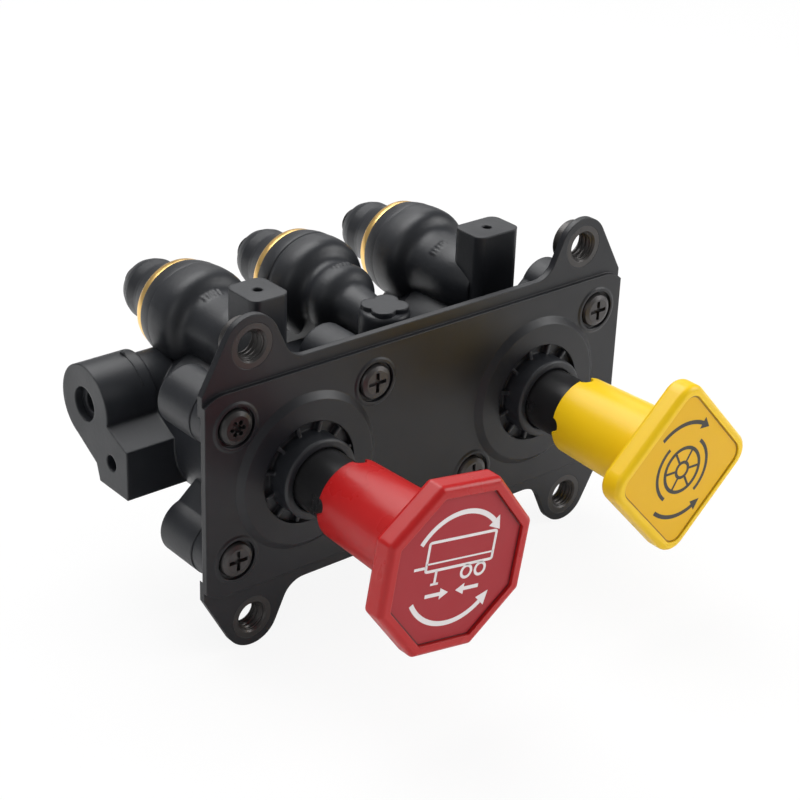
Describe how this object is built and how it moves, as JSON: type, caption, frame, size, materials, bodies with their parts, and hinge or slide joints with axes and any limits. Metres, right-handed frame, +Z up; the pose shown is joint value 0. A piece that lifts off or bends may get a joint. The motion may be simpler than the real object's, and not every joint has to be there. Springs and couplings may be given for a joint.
{
  "type": "air brake dash control valve",
  "caption": "Two-knob push-pull air valve on a pressed panel plate: red octagonal and yellow diamond knobs in front, push-in tube fittings behind.",
  "frame": {"origin": "centre of the four tab holes, on the front face of the plate's raised middle", "axes": "+X to the right along the plate, +Y back into the dash, +Z up"},
  "size_m": [0.1444, 0.1402, 0.0942],
  "materials": {
    "plate_black": "satin black paint on pressed steel",
    "bush_steel": "dark blackened steel",
    "screw_steel": "dull zinc",
    "screw_black": "black oxide",
    "moulded_black": "glass-filled moulding",
    "plunger_black": "smooth moulding",
    "seal_rubber": "greased rubber",
    "spring_steel": "drawn steel",
    "knob_red": "gloss red moulding",
    "label_red": "satin red label",
    "knob_yellow": "gloss yellow moulding",
    "label_yellow": "satin yellow label",
    "ring_brass": "turned brass"
  },
  "bodies": {
    "housing": {"mounting_plate": "plate_black", "panel_inserts": "bush_steel", "lock_screw": "screw_black", "plate_screws": "screw_steel", "front_cover": "moulded_black", "valve_body": "moulded_black", "plunger_guide_left": "moulded_black", "shaft_seal_left": "seal_rubber", "return_spring_left": "spring_steel", "plunger_guide_right": "moulded_black", "shaft_seal_right": "seal_rubber", "return_spring_right": "spring_steel", "tube_seal_left": "seal_rubber", "grab_ring_left": "spring_steel", "fitting_ring_left": "ring_brass", "fitting_nose_left": "moulded_black", "tube_seal_middle": "seal_rubber", "grab_ring_middle": "spring_steel", "fitting_ring_middle": "ring_brass", "fitting_nose_middle": "moulded_black", "tube_seal_right": "seal_rubber", "grab_ring_right": "spring_steel", "fitting_ring_right": "ring_brass", "fitting_nose_right": "moulded_black", "side_port_insert": "moulded_black", "exhaust_cap": "moulded_black", "exhaust_flap": "seal_rubber"},
    "plunger_left": {"plunger_left": "plunger_black", "knob_red": "knob_red", "label_red": "label_red", "knob_pin_left": "spring_steel", "piston_seals_left": "seal_rubber"},
    "plunger_right": {"plunger_right": "plunger_black", "knob_yellow": "knob_yellow", "label_yellow": "label_yellow", "knob_pin_right": "spring_steel", "piston_seals_right": "seal_rubber"},
    "sleeve_left": {"release_sleeve_left": "plunger_black"},
    "sleeve_middle": {"release_sleeve_middle": "plunger_black"},
    "sleeve_right": {"release_sleeve_right": "plunger_black"}
  },
  "joints": [
    {"name": "push_pull_left", "type": "slide", "parent": "housing", "child": "plunger_left", "axis": [0, 1, 0], "range_m": [0, 0.012], "stiffness_N_per_m": 900, "springref_m": -0.008, "deforming": ["return_spring_left"]},
    {"name": "push_pull_right", "type": "slide", "parent": "housing", "child": "plunger_right", "axis": [0, 1, 0], "range_m": [0, 0.012], "stiffness_N_per_m": 900, "springref_m": -0.008, "deforming": ["return_spring_right"]},
    {"name": "release_left", "type": "slide", "parent": "housing", "child": "sleeve_left", "axis": [0, -1, 0], "range_m": [0, 0.0012]},
    {"name": "release_middle", "type": "slide", "parent": "housing", "child": "sleeve_middle", "axis": [0, -1, 0], "range_m": [0, 0.0012]},
    {"name": "release_right", "type": "slide", "parent": "housing", "child": "sleeve_right", "axis": [0, -1, 0], "range_m": [0, 0.0012]}
  ]
}
